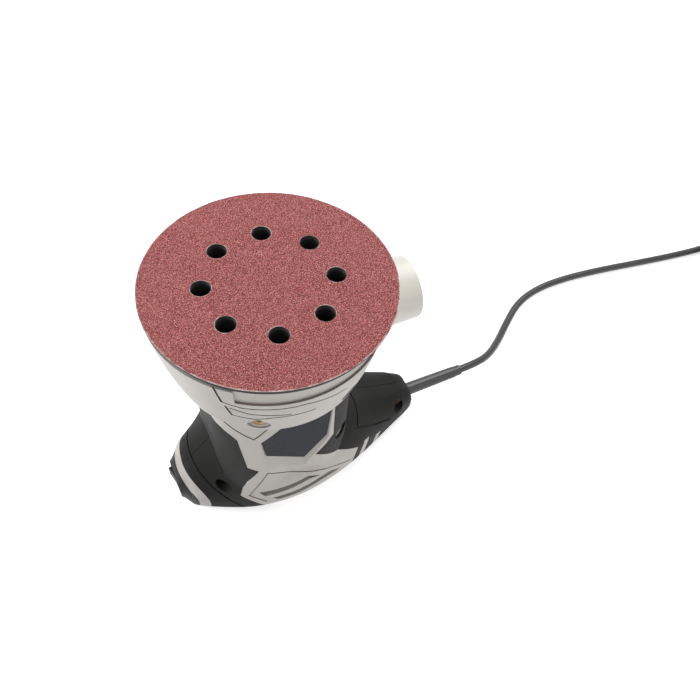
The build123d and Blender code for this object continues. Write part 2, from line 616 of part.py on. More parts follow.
def behind_sweep(x):
    """Everything behind a round upright surface across the nose that stands at x on the parting plane."""
    centre = x + NOSE_SWEEP_R
    rest = block(centre, 4 * REACH, -REACH, REACH, -2 * REACH, 2 * REACH)
    return cyl(NOSE_SWEEP_R, -2 * REACH, 2 * REACH, centre) + rest


def housing_pieces():
    """Clamshell halves, soft grips, data plate, nose ring, switch panel and housing screws."""
    outer = body(0)
    under_grip = body(GRIP_T, OVER)
    under_line = body(GROOVE_DEPTH, OVER)
    cavity = body(WALL, OVER)
    backing = body(0.75 * WALL, -SEAT)
    nose = outer - behind_sweep(RING_BACK_X)
    shell = outer - cavity - nose
    skin = outer - under_grip - nose
    line_skin = outer - under_line
    front = prism_xz(FRONT_GRIP, -REACH, REACH)
    rear = prism_xz(REAR_GRIP, -REACH, REACH)
    for stripe in STRIPES:
        rear -= line_strip(stripe, STRIPE_W)
    front_skin = skin & front
    rear_skin = (skin & rear) - sleeve_bore()
    shell = shell - front_skin - rear_skin
    for line in (PANEL_LINE, CHEVRON_LINE):
        for strip in line_strip(line, GROOVE_W):
            shell -= line_skin & strip
    for strip in line_strip(FRONT_LINE, GROOVE_W):
        front_skin -= line_skin & strip
    for strip in line_strip(TAIL_LINE, GROOVE_W):
        rear_skin -= line_skin & strip
    for outline in VENTS:
        shell -= prism_xz(outline, -REACH, -NECK_HALF_Y / 2)
        shell -= prism_xz(outline, NECK_HALF_Y / 2, REACH)

    ribs = housing_ribs(backing)
    shell += [rib - nose for rib in ribs]
    shell -= housing_bores()

    recess = prism_xz(PLATE_OUTLINE, -REACH, -NECK_HALF_Y + PLATE_DEPTH)
    deep = Wire.make_polygon([Vector(x, -NECK_HALF_Y + PLATE_DEPTH, z) for x, z in PLATE_OUTLINE], close=True)
    wide = Wire.make_polygon([Vector(x, -NECK_HALF_Y - FIT, z) for x, z in BEVEL_OUTLINE], close=True)
    shell = shell - recess - loft([Face(deep), Face(wide)], ruled=True)
    plate_back = -NECK_HALF_Y + PLATE_DEPTH
    keep("data_plate", prism_xz(PLATE_OUTLINE, plate_back - PLATE_SHEET_T, plate_back))

    pockets = [cyl_y(POCKET_D / 2, -REACH, -floor, x, z) for x, z, floor, reach in HOUSING_SCREWS]
    right = block(-2 * REACH, 2 * REACH, -REACH, 0, -OVER, 2 * REACH)
    left = block(-2 * REACH, 2 * REACH, 0, REACH, -OVER, 2 * REACH)
    keep("right_housing", (shell & right) - pockets)
    posts, post_bores = clamp_posts()
    keep("left_housing", (shell & left) + posts - post_bores)
    linings, lining_bores = pocket_linings(outer)
    keep("right_front_grip", ((front_skin & right) + linings[0]) - lining_bores[0])
    keep("left_front_grip", front_skin & left)
    keep("right_rear_grip", ((rear_skin & right) - pockets[1] + linings[-1]) - lining_bores[-1])
    keep("left_rear_grip", rear_skin & left)

    screws = []
    for x, z, floor, reach in HOUSING_SCREWS:
        screw = cyl_y(SCREW_D / 2, -floor - OVER, reach, x, z)
        screws.append(screw + cyl_y(SCREW_HEAD_D / 2, -floor - SCREW_HEAD_T, -floor, x, z))
    keep("housing_screws", screws)
    nose_pieces(nose)


def pocket_linings(outer):
    """Soft linings of the screw pockets before boring, and their bores."""
    linings = []
    bores = []
    for x, z, floor, reach in HOUSING_SCREWS:
        linings.append(cyl_y(POCKET_D / 2 - FIT, -REACH, -floor, x, z) & outer)
        bores.append(cyl_y(POCKET_D / 2 - LINING_T, -REACH, -floor, x, z))
    return linings, bores


def housing_ribs(backing):
    """Ribs and bosses inside the shell, trimmed to the middle of its wall."""
    ribs = []
    for z in STATOR_RIBS:
        rib = block(-REACH, REACH, -REACH, REACH, z, z + RIB_T)
        ribs.append(rib - cyl(STATOR_D / 2 + FIT, z - OVER, z + RIB_T + OVER))
    saddle_top = CROWN_BEARING_Z + CROWN_END_BEARING[2] + SADDLE_LIP
    ribs.append(block(-SADDLE_HALF_W, SADDLE_HALF_W, -REACH, REACH, CROWN_BEARING_Z - SADDLE_LIP, saddle_top))
    seat_x = BRUSH_W / 2 + 2 * HOLDER_WALL
    seat_z = BRUSH_H / 2 + 2 * HOLDER_WALL
    for y0, y1 in ((-REACH, BRUSH_SEAT_DEPTH - HOLDER_OUT), (HOLDER_OUT - BRUSH_SEAT_DEPTH, REACH)):
        ribs.append(block(-seat_x, seat_x, y0, y1, COMMUTATOR_MID_Z - seat_z, COMMUTATOR_MID_Z + seat_z))
    for x, z, floor, reach in HOUSING_SCREWS:
        ribs.append(cyl_y(BOSS_D / 2, -REACH, REACH, x, z))
        ribs.append(cyl_y(POCKET_D / 2 + POCKET_WALL, -REACH, -floor + POCKET_WALL, x, z))
    clamp_low = CORD_Z - CLAMP_H / 2
    ribs.append(block(CLAMP_X, CLAMP_X + CLAMP_W, CORD_R, REACH, clamp_low, clamp_low + CLAMP_H))
    return [rib & backing for rib in ribs]


def clamp_posts():
    """Two posts of the left half that carry the cord clamp, and their screw holes."""
    post = (CLAMP_H - CORD_D) / 2 - SEAT
    low = CORD_Z - CLAMP_H / 2
    posts = []
    bores = []
    for z in (low, low + CLAMP_H - post):
        posts.append(block(CLAMP_X, CLAMP_X + CLAMP_W, -CORD_R, CORD_D, z, z + post))
    for z in (CORD_Z - CLAMP_SCREW_OFFSET, CORD_Z + CLAMP_SCREW_OFFSET):
        bores.append(cyl_y(CLAMP_SCREW_D / 2 + FIT, -CORD_D, CORD_D, CLAMP_X + CLAMP_W / 2, z))
    return posts, bores


def housing_bores():
    """What is bored out of the ribs, bosses and tail wall."""
    bores = [cyl(CROWN_END_BEARING[1] / 2 + FIT, CROWN_BEARING_Z, CROWN_BEARING_Z + CROWN_END_BEARING[2])]
    bores.append(cyl(CROWN_END_BEARING[1] / 2 - SADDLE_LIP, NECK_BASE_Z, COMMUTATOR_Z))
    half_x = BRUSH_W / 2 + HOLDER_WALL + 2 * FIT
    half_z = BRUSH_H / 2 + HOLDER_WALL + 2 * FIT
    bores.append(block(-half_x, half_x, -HOLDER_OUT - FIT, HOLDER_OUT + FIT, COMMUTATOR_MID_Z - half_z,
                       COMMUTATOR_MID_Z + half_z))
    for x, z, floor, reach in HOUSING_SCREWS:
        bores.append(cyl_y(SCREW_D / 2 + FIT, -floor - OVER, reach + OVER, x, z))
    bores.append(sleeve_bore())
    return bores


def sleeve_bore():
    """Hole for the cord sleeve through the end of the tail."""
    return cyl_x(SLEEVE_D / 2 + FIT, TAIL[0][0] - 2 * WALL, TAIL[-1][0] + OVER, 0, CORD_Z)


def nose_pieces(nose):
    """Ring, switch panel, switch body and rocker at the nose."""
    opening = block(-2 * REACH, STATIONS[1][0], -SWITCH_W / 2 - SEAT, SWITCH_W / 2 + SEAT,
                    NOSE_MID_Z - SWITCH_H / 2 - SEAT, NOSE_MID_Z + SWITCH_H / 2 + SEAT)
    behind_panel = behind_sweep(RING_FRONT_X)
    nose_ring = nose & behind_panel
    keep("nose_ring", nose_ring - opening)
    panel = nose - behind_panel
    half_w = ROCKER_W / 2 + ROCKER_GAP
    half_h = ROCKER_H / 2 + ROCKER_GAP / 2
    window = block(-2 * REACH, 0, -half_w, half_w, NOSE_MID_Z - half_h, NOSE_MID_Z + half_h)
    keep("switch_panel", panel - window)
    pivot_x = NOSE[-1][0] + ROCKER_PIVOT_DEPTH
    front_x = RING_FRONT_X + NOSE_SWEEP_R - math.sqrt(NOSE_SWEEP_R ** 2 - (SWITCH_W / 2) ** 2) + SEAT
    switch = block(front_x, front_x + SWITCH_L, -SWITCH_W / 2, SWITCH_W / 2, NOSE_MID_Z - SWITCH_H / 2,
                   NOSE_MID_Z + SWITCH_H / 2)
    clear = cyl(ROCKER_W / 2 + SEAT, NOSE_MID_Z - half_h, NOSE_MID_Z + half_h, pivot_x, 0)
    keep("switch_body", switch - clear)
    face_x = NOSE[-1][0] - ROCKER_PROUD
    rocker = block(face_x, pivot_x, -ROCKER_W / 2, ROCKER_W / 2, NOSE_MID_Z - ROCKER_H / 2,
                   NOSE_MID_Z + ROCKER_H / 2)
    dish_r = 3 * ROCKER_W
    rocker -= cyl(dish_r, NOSE_MID_Z - ROCKER_H, NOSE_MID_Z + ROCKER_H, face_x - dish_r + OVER, 0)
    rocker += cyl(ROCKER_PIVOT_DEPTH / 2, NOSE_MID_Z - ROCKER_H / 2, NOSE_MID_Z + ROCKER_H / 2, pivot_x, 0)
    turned = Pos(pivot_x, 0, 0) * Rot(0, 0, ROCKER_TILT) * Pos(-pivot_x, 0, 0) * rocker
    keep("rocker", turned)


def cord_hardware():
    """Sleeve, inner lead, clamp and its screws."""
    wall_in = TAIL[-1][0] - WALL
    sleeve = cyl_x(SLEEVE_FLANGE_D / 2, wall_in - SLEEVE_FLANGE_T, wall_in, 0, CORD_Z)
    taper_start = TAIL[-1][0]
    taper_end = SLEEVE_END_X - SLEEVE_STEP_L
    sleeve += cyl_x(SLEEVE_D / 2, wall_in - SLEEVE_FLANGE_T, taper_start, 0, CORD_Z)
    cone = Cone(SLEEVE_D / 2, SLEEVE_TIP_D / 2, taper_end - taper_start, align=ON_BASE)
    sleeve += Pos(taper_start, 0, CORD_Z) * Rot(0, 90, 0) * cone
    sleeve += cyl_x(SLEEVE_TIP_D / 2 - SEAT, taper_end, SLEEVE_END_X, 0, CORD_Z)
    sleeve -= cyl_x(CORD_R + FIT, LEAD_X, SLEEVE_END_X + OVER, 0, CORD_Z)
    keep("cord_sleeve", sleeve)
    keep("inner_lead", cyl_x(CORD_R, LEAD_X, SLEEVE_END_X, 0, CORD_Z))
    low = CORD_Z - CLAMP_H / 2
    clamp = block(CLAMP_X, CLAMP_X + CLAMP_W, -CORD_R - CLAMP_T, -CORD_R, low, low + CLAMP_H)
    screws = []
    for z in (CORD_Z - CLAMP_SCREW_OFFSET, CORD_Z + CLAMP_SCREW_OFFSET):
        x = CLAMP_X + CLAMP_W / 2
        clamp -= cyl_y(CLAMP_SCREW_D / 2 + FIT, -CORD_R - CLAMP_T - OVER, 0, x, z)
        screw = cyl_y(CLAMP_SCREW_D / 2, -CORD_R - CLAMP_T - OVER, CORD_R, x, z)
        screw += cyl_y(CLAMP_SCREW_D, -CORD_R - CLAMP_T - CLAMP_SCREW_D, -CORD_R - CLAMP_T, x, z)
        screws.append(screw)
    keep("cord_clamp", clamp)
    keep("clamp_screws", screws)


def cord_path(points):
    """Straight runs joined by tangent arcs as large as the runs allow."""
    vectors = [Vector(*p) for p in points]
    radii = []
    for a, b, c in zip(vectors[:-2], vectors[1:-1], vectors[2:]):
        turn = math.radians((b - a).get_angle(c - b))
        radii.append(0.45 * min((b - a).length, (c - b).length) / math.tan(turn / 2))
    print("cord radii:", " ".join(f"{r:.0f}" for r in radii))
    return FilletPolyline(*points, radius=radii)


def free_cord():
    """Cord from the sleeve to the coil."""
    path = cord_path(CORD_ROUTE)
    start = Plane(origin=CORD_ROUTE[0], z_dir=path % 0)
    tube = sweep(start * Circle(CORD_R), path=path)
    share = tube.volume / (math.pi * CORD_R ** 2 * path.length)
    print(f"cord length {path.length:.1f}, volume over section times length {share:.4f}")
    keep("cord", tube)


def coil_point(turns):
    """Centre line of the coil after a number of turns, and its direction, clockwise from the far side."""
    climb_end = TURNS_IN + 0.5
    if turns <= TURNS_IN:
        radius = COIL_START_R - COIL_PITCH * turns
        z = COIL_LOW_Z
    elif turns <= climb_end:
        share = (turns - TURNS_IN) / 0.5
        radius = COIL_INNER_R - COIL_PITCH / 4 * (1 - abs(1 - 2 * share))
        z = COIL_LOW_Z + COIL_PITCH * share * share * (3 - 2 * share)
    else:
        radius = COIL_INNER_R + COIL_PITCH * (turns - climb_end)
        z = COIL_HIGH_Z
    angle = math.pi / 2 - 2 * math.pi * turns
    return Vector(COIL_X + radius * math.cos(angle), COIL_CENTRE_Y + radius * math.sin(angle), z)


def biarc(p0, t0, p1, t1):
    """Two tangent arcs between two points with given directions."""
    v = p1 - p0
    t = t0 + t1
    k = 2 * (1 - t0.dot(t1))
    d = (-v.dot(t) + math.sqrt(v.dot(t) ** 2 + k * v.dot(v))) / k
    mid = (p0 + p1 + (t0 - t1) * d) * 0.5
    first = Edge.make_tangent_arc(p0, t0, mid)
    second = Edge.make_tangent_arc(p1, t1 * -1, mid)
    return [first, Edge.make_tangent_arc(mid, first % 1, p1)] if second.length > 0 else [first]


def coil_pieces():
    """Put-away coil in two layers, with its tie, tail and plug."""
    total = TURNS_IN + 0.5 + TURNS_OUT
    steps = round(total * 4)
    tiny = 1e-4
    points = []
    ways = []
    for i in range(steps + 1):
        turns = total * i / steps
        points.append(coil_point(turns))
        ways.append((coil_point(min(turns + tiny, total)) - coil_point(max(turns - tiny, 0))).normalized())
    ways[0] = Vector(1, 0, 0)
    ways[-1] = Vector(1, 0, 0)
    lead_in = points[0] - ways[0] * CORD_D
    lead_out = points[-1] + ways[-1] * CORD_D
    edges = [Edge.make_line(lead_in, points[0])]
    for i in range(steps):
        edges += biarc(points[i], ways[i], points[i + 1], ways[i + 1])
    edges.append(Edge.make_line(points[-1], lead_out))
    path = Wire(edges)
    tube = sweep(Plane(origin=lead_in, z_dir=ways[0]) * Circle(CORD_R), path=path)
    share = tube.volume / (math.pi * CORD_R ** 2 * path.length)
    print(f"coil length {path.length:.1f}, volume over section times length {share:.4f}")
    samples = [coil_point(total * i / 900) for i in range(901)]
    least = min((a - b).length for i, a in enumerate(samples) for b in samples[i + 60:])
    print(f"coil least gap {least - CORD_D:.2f}")
    keep("cord_coil", tube)

    tail_end = lead_out + Vector(TAIL_RUN, 0, 0)
    keep("cord_tail", cyl_x(CORD_R, lead_out.X, tail_end.X, lead_out.Y, lead_out.Z))

    inner = COIL_INNER_R - COIL_PITCH / 2 - CORD_R
    outer = COIL_END_R + CORD_R + SEAT
    band = block(inner - TIE_T, outer + TIE_T, -TIE_W / 2, TIE_W / 2, 0, COIL_HIGH_Z + CORD_R + SEAT + TIE_T)
    band -= block(inner, outer, -TIE_W, TIE_W, TIE_T, COIL_HIGH_Z + CORD_R + SEAT)
    keep("coil_tie", Pos(COIL_X, COIL_CENTRE_Y, 0) * Rot(0, 0, TIE_ANGLE) * band)
    plug_pieces(tail_end)


def plug_pieces(end):
    """Moulded two-pin plug lying on the floor at the end of the tail."""
    relief = Cone(RELIEF_D / 2, PLUG_W / 4, RELIEF_L, align=ON_BASE)
    plug_body = Pos(end.X, end.Y, end.Z) * Rot(0, 90, 0) * relief
    back_x = end.X + RELIEF_L
    outline = RectangleRounded(2 * end.Z, PLUG_W, PLUG_ROUND)
    plug_body += Pos(back_x, end.Y, end.Z) * Rot(0, 90, 0) * extrude(outline, amount=PLUG_L)
    keep("plug_body", plug_body)
    front_x = back_x + PLUG_L
    pins = []
    for side in (-1, 1):
        pin = cyl_x(PIN_D / 2, front_x, front_x + PIN_L, end.Y + side * PIN_SPACING / 2, end.Z)
        tip = pin.edges().filter_by(GeomType.CIRCLE).group_by(Axis.X)[-1]
        pins.append(fillet(tip, PIN_D / 5))
    keep("plug_pins", pins)


def main():
    pad_pieces()
    fan_pieces()
    rotor_pieces()
    stator_pieces()
    skirt_pieces()
    bracket_piece()
    housing_pieces()
    cord_hardware()
    free_cord()
    coil_pieces()
    os.makedirs("parts", exist_ok=True)
    for name, shape in parts.items():
        export_step(shape, f"parts/{name}.step")
    print(len(parts), "nodes")


main()
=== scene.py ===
import json
import math

import bmesh
import bpy
from mathutils import Matrix, Vector
from mathutils.bvhtree import BVHTree


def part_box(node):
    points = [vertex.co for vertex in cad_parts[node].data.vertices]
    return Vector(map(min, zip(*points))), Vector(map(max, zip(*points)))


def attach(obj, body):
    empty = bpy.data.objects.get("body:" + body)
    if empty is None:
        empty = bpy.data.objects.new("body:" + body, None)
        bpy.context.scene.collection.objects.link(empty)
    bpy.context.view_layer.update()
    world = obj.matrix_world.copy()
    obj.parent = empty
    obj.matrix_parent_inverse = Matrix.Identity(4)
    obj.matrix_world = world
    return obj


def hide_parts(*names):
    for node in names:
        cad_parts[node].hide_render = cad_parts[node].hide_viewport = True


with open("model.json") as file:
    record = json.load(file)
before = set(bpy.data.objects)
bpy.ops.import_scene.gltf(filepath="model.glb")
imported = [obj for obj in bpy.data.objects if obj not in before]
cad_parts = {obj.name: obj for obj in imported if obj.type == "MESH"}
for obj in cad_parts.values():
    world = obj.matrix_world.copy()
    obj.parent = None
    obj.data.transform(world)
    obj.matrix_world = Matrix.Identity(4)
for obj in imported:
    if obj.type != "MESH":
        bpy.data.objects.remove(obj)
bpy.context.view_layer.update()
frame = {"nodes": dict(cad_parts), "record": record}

nodes = frame["nodes"]
record = frame["record"]
body_of_node = {n: b for b, members in record["behaviour"]["bodies"].items() for n in members}
slot_of_node = {s["node"]: s["material_slot"] for s in record["subparts"]}
MM = 0.001

# Sizes and places are in millimetres, and those of the disc, cord, strap and screw heads are the model's.

# Disc, its dust holes and its grit
ORBIT = 1.25
FACE_Z = 168.0
DISC_R = 62.5
HOLE_R = 5.0
HOLE_RING_R = 32.5
HOLE_PHASE = 30.8
HOLE_STEP = 45.0
GRIT_FINE, GRIT_COARSE = 5200.0, 3700.0   # grains per metre
FRAY = 1.6                                # how unevenly the paper is torn

# Cord, coil and the strap round it
CORD_D = 5.5
CORD_R = CORD_D / 2
TIE_T, TIE_BEND_R = 1.0, 2.0
COIL_X, COIL_Y = 440.0, -10.0
COIL_INNER_R = 22.0
COIL_PITCH = 6.1
COIL_GAP = 0.3
TURNS_IN, TURNS_OVER, TURNS_OUT = 3.5, 0.5, 4.0
COIL_LOW_Z = TIE_T + COIL_GAP + CORD_R
COIL_HIGH_Z = COIL_LOW_Z + COIL_PITCH
COIL_START_R = COIL_INNER_R + TURNS_IN * COIL_PITCH
COIL_END_R = COIL_INNER_R + TURNS_OUT * COIL_PITCH
TAIL_LEAD, TAIL_RUN = 14.0, 36.0
ROUTE = (
    (141.5, 0.0, 14.8),
    (155.0, 0.6, 13.8),
    (171.0, 5.4, 9.5),
    (188.0, 16.5, 4.8),
    (205.0, 30.0, CORD_R),
    (225.0, 44.0, CORD_R),
    (248.5, 50.5, CORD_R),
    (276.0, 51.0, CORD_R),
    (309.5, 47.5, CORD_R),
    (343.0, 42.3, CORD_R),
    (375.0, 37.6, CORD_R),
    (406.0, COIL_Y + COIL_START_R + 0.2, COIL_LOW_Z - 0.4),
    (COIL_X - CORD_D, COIL_Y + COIL_START_R, COIL_LOW_Z),
)

# Screw heads and their cross recesses
SKIRT_HEAD_R, SKIRT_SCREW_Z = 51.2, 125.0
SKIRT_SCREW_ANGLES = (63.0, 117.0, 243.0, 297.0)
HOUSING_HEADS = ((-41.4, -17.6, 30.0), (29.3, -28.6, 63.0), (83.5, -11.1, 24.0))
RECESS_W, RECESS_DEPTH = 4.4, 1.3
RECESS_ARM = 0.24     # an arm's thickness as a share of the recess's width
RECESS_TAPER = 0.4    # share of the width that is left at the bottom

# Plug: tapered relief with ring grooves, and finger hollows
RELIEF_L, RELIEF_R0, RELIEF_R1 = 24.0, 4.5, 8.5
RELIEF_GROOVES, GROOVE_R = 5, 0.8
FINGER_R, FINGER_OUT, FINGER_BACK = 11.0, 3.2, 17.0
FINGER_FORM = (1.0, 0.8, 0.4)

# Width of the softened edges on the pieces that show
ROUNDED = {
    "skirt_screws": 0.2,
    "housing_screws": 0.2,
    "plug_body": 0.6,
    "skirt": 0.35,
    "right_housing": 0.3,
    "left_housing": 0.3,
    "right_front_grip": 0.3,
    "left_front_grip": 0.3,
    "right_rear_grip": 0.3,
    "left_rear_grip": 0.3,
    "nose_ring": 0.3,
    "switch_panel": 0.4,
    "rocker": 0.6,
    "dust_port": 0.2,
    "cord_sleeve": 0.25,
    "data_plate": 0.15,
    "coil_tie": 0.2,
    "backing_pad": 0.4,
    "abrasive_disc": 0.08,
    "hook_facing": 0.0,
}
EDGE_ANGLE = math.radians(32.0)   # a sharper turn than this is an edge
FLAT_ANGLE = math.radians(0.4)    # triangles that turn less than this are one face
JOIN_GAP, SLIVER = 0.004, 0.002
# Pieces that are cut after their edges are softened, which comes out clean on plain triangles
CUT_LATER = ("plug_body", "skirt_screws", "housing_screws")
# Pieces of the housing's plastic that are moulded whole, without a parting line
FINISH = {"skirt": "skirt_plastic", "nose_ring": "skirt_plastic"}
# Pieces with grooves, slots and pockets that get painted shade
GROOVED = ("skirt", "right_housing", "left_housing", "right_front_grip", "left_front_grip", "right_rear_grip",
           "left_rear_grip", "nose_ring", "switch_panel")
# Reach of that shade, and the closed-off shares where it starts and is full
GROOVE_SHADE = (2.5, 0.3, 0.5)
SLOT_SHADE = (8.0, 0.5, 0.74)
RAY_LIFT = 0.02
PAINTED_SHADE_TINT = (0.23, 0.165, 0.115)   # painted shade: what is left of a colour in a groove
PAINTED_SHADE_COVER = 0.9
SEAM_FADE, SEAM_CORE = 0.42, 0.25     # half widths of the shaded parting line

# Light levels at which a colour renders about as written
SKY = 0.42
KEY, FILL, BACK = 5.2, 1.0, 7.2
FLOOR_GLOW = 0.64
FLOOR_SIZE = 12.0   # metres
FLOOR_DROP = 0.2


class Graph:
    """Short way to write a node tree."""

    def __init__(self, tree):
        self.tree = tree

    def node(self, kind, settings=None, **sockets):
        """New node; a socket's name is written with an underscore for each space."""
        made = self.tree.nodes.new(kind)
        for key, value in (settings or {}).items():
            setattr(made, key, value)
        for key, value in sockets.items():
            self.put(made.inputs[key.replace("_", " ")], value)
        return made

    def put(self, socket, value):
        """Link a socket to another, or set its constant."""
        if isinstance(value, bpy.types.NodeSocket):
            self.tree.links.new(value, socket)
        else:
            socket.default_value = value

    def math(self, operation, a, b=0.0):
        made = self.node("ShaderNodeMath", {"operation": operation})
        for socket, value in zip(made.inputs, (a, b)):
            self.put(socket, value)
        return made.outputs[0]

    def noise(self, where, scale, detail=3.0, roughness=0.55):
        made = self.node("ShaderNodeTexNoise", Vector=where, Scale=scale, Detail=detail, Roughness=roughness)
        return made.outputs["Fac"]

    def span(self, value, low, high, to_low=0.0, to_high=1.0):
        """Stretch a value's range, held at both ends."""
        made = self.node("ShaderNodeMapRange", Value=value, From_Min=low, From_Max=high, To_Min=to_low,
                         To_Max=to_high)
        return made.outputs["Result"]

    def blend(self, share, a, b):
        """Mix two colours."""
        made = self.node("ShaderNodeMix", {"data_type": "RGBA"})
        self.put(made.inputs[0], share)
        for socket, value in ((made.inputs[6], a), (made.inputs[7], b)):
            self.put(socket, value if isinstance(value, bpy.types.NodeSocket) else (*value, 1.0))
        return made.outputs[2]

    def place(self):
        """Place on the piece, in its own frame."""
        return self.node("ShaderNodeTexCoord").outputs["Object"]

    def split(self, vector):
        return self.node("ShaderNodeSeparateXYZ", Vector=vector).outputs

    def length(self, a, b):
        """Length of a flat vector."""
        return self.math("SQRT", self.math("ADD", self.math("MULTIPLY", a, a), self.math("MULTIPLY", b, b)))


def node_group(name, ins, outs):
    """Empty node group with number sockets."""
    tree = bpy.data.node_groups.new(name, "ShaderNodeTree")
    for label, default in ins:
        made = tree.interface.new_socket(name=label, in_out="INPUT", socket_type="NodeSocketFloat")
        made.default_value = default
    for label in outs:
        tree.interface.new_socket(name=label, in_out="OUTPUT", socket_type="NodeSocketFloat")
    return Graph(tree), tree.nodes.new("NodeGroupInput").outputs, tree.nodes.new("NodeGroupOutput").inputs


def make_moulded():
    """Moulded surface: fine spark grain, slow mottle and rare specks."""
    g, given, result = node_group("moulded_surface", (("Grain", 1500.0), ("Mottle", 40.0)),
                                  ("Height", "Mottle", "Specks"))
    where = g.place()
    fine = g.noise(where, given["Grain"], 2.0, 0.6)
    slow = g.noise(where, given["Mottle"], 4.0, 0.6)
    cells = g.node("ShaderNodeTexVoronoi", Vector=where, Scale=given["Grain"])
    g.put(result["Height"], g.math("ADD", fine, g.math("MULTIPLY", cells.outputs["Distance"], 0.35)))
    g.put(result["Mottle"], g.span(slow, 0.3, 0.7))
    g.put(result["Specks"], g.span(g.noise(where, 420.0, 2.0), 0.66, 0.74))
    return g.tree


def make_hole_field():
    """Distance in metres to the nearest dust hole's centre, and to the pad's axis."""
    g, _, result = node_group("hole_field", (), ("Hole", "Axis"))
    where = g.split(g.place())
    x = g.math("SUBTRACT", where["X"], ORBIT * MM)
    y = where["Y"]
    reach = g.length(x, y)
    angle = g.math("SUBTRACT", g.math("ARCTAN2", y, x), math.radians(HOLE_PHASE - HOLE_STEP / 2))
    angle = g.math("FLOORED_MODULO", angle, math.radians(HOLE_STEP))
    angle = g.math("SUBTRACT", angle, math.radians(HOLE_STEP / 2))
    along = g.math("SUBTRACT", g.math("MULTIPLY", reach, g.math("COSINE", angle)), HOLE_RING_R * MM)
    across = g.math("MULTIPLY", reach, g.math("SINE", angle))
    g.put(result["Hole"], g.length(along, across))
    g.put(result["Axis"], reach)
    return g.tree


moulded = make_moulded()
hole_field = make_hole_field()


def new_material(name):
    mat = bpy.data.materials.new(name)
    mat.use_nodes = True
    return mat, Graph(mat.node_tree), mat.node_tree.nodes["Principled BSDF"]


def use_group(graph, tree, **sockets):
    return graph.node("ShaderNodeGroup", {"node_tree": tree}, **sockets).outputs


def bump(graph, shader, height, distance, strength=1.0):
    made = graph.node("ShaderNodeBump", Height=height, Distance=distance, Strength=strength)
    graph.put(shader.inputs["Normal"], made.outputs["Normal"])


def moulded_material(name, light, dark, speck, rough=(0.4, 0.5), grain=1500.0, depth=0.03, metallic=0.0,
                     specular=0.5, coat=0.0, sheen=0.0, mottle=40.0, seam=False):
    """Plastic, rubber or cast surface with its own grain, mottle and specks, and painted shade in its
    grooves.
    """
    mat, g, shader = new_material(name)
    field = use_group(g, moulded, Grain=grain, Mottle=mottle)
    colour = g.blend(field["Mottle"], light, dark)
    colour = g.blend(g.math("MULTIPLY", field["Specks"], 0.5), colour, speck)
    # Painted shade: faces that the piece closes off, and the parting line, are darkened towards a shade
    # colour
    painted_shade = g.node("ShaderNodeAttribute", {"attribute_name": "painted_shade"}).outputs["Fac"]
    hollow = g.math("MULTIPLY", painted_shade, PAINTED_SHADE_COVER)
    if seam:
        across = g.math("ABSOLUTE", g.split(g.place())["Y"])
        line = g.span(across, SEAM_FADE * MM, SEAM_CORE * MM, 0.0, PAINTED_SHADE_COVER)
        hollow = g.math("MAXIMUM", hollow, line)
    shade_colour = tuple(share * c for share, c in zip(PAINTED_SHADE_TINT, light))
    g.put(shader.inputs["Base Color"], g.blend(hollow, colour, shade_colour))
    g.put(shader.inputs["Roughness"], g.span(field["Mottle"], 0.0, 1.0, *rough))
    shader.inputs["Metallic"].default_value = metallic
    shader.inputs["Specular IOR Level"].default_value = specular
    shader.inputs["Coat Weight"].default_value = coat
    shader.inputs["Coat Roughness"].default_value = 0.25
    shader.inputs["Sheen Weight"].default_value = sheen
    bump(g, shader, field["Height"], depth * MM)
    return mat


def grit(g, where):
    """Two sizes of mineral grain in resin: colour, each fine grain's own share, and height."""
    fine = g.node("ShaderNodeTexVoronoi", Vector=where, Scale=GRIT_FINE)
    pick = g.node("ShaderNodeSeparateColor", Color=fine.outputs["Color"]).outputs["Red"]
    coarse = g.node("ShaderNodeTexVoronoi", Vector=where, Scale=GRIT_COARSE)
    second = g.node("ShaderNodeSeparateColor", Color=coarse.outputs["Color"]).outputs["Green"]
    # Dark to red grains, a few pale, dark and pink ones, and a slow cloud over all
    colour = g.blend(g.span(pick, 0.0, 1.0), (0.047, 0.005, 0.007), (0.47, 0.098, 0.099))
    colour = g.blend(g.span(pick, 0.88, 0.93), colour, (0.84, 0.47, 0.45))
    colour = g.blend(g.span(second, 0.8, 0.84), colour, (0.045, 0.008, 0.01))
    colour = g.blend(g.span(second, 0.14, 0.1), colour, (0.6, 0.22, 0.21))
    cloud = g.span(g.noise(where, 26.0, 4.0, 0.6), 0.3, 0.7)
    colour = g.blend(g.math("MULTIPLY", cloud, 0.2), colour, (0.4, 0.115, 0.1))
    height = g.math("ADD", fine.outputs["Distance"], g.math("MULTIPLY", pick, 0.8))
    return colour, pick, height


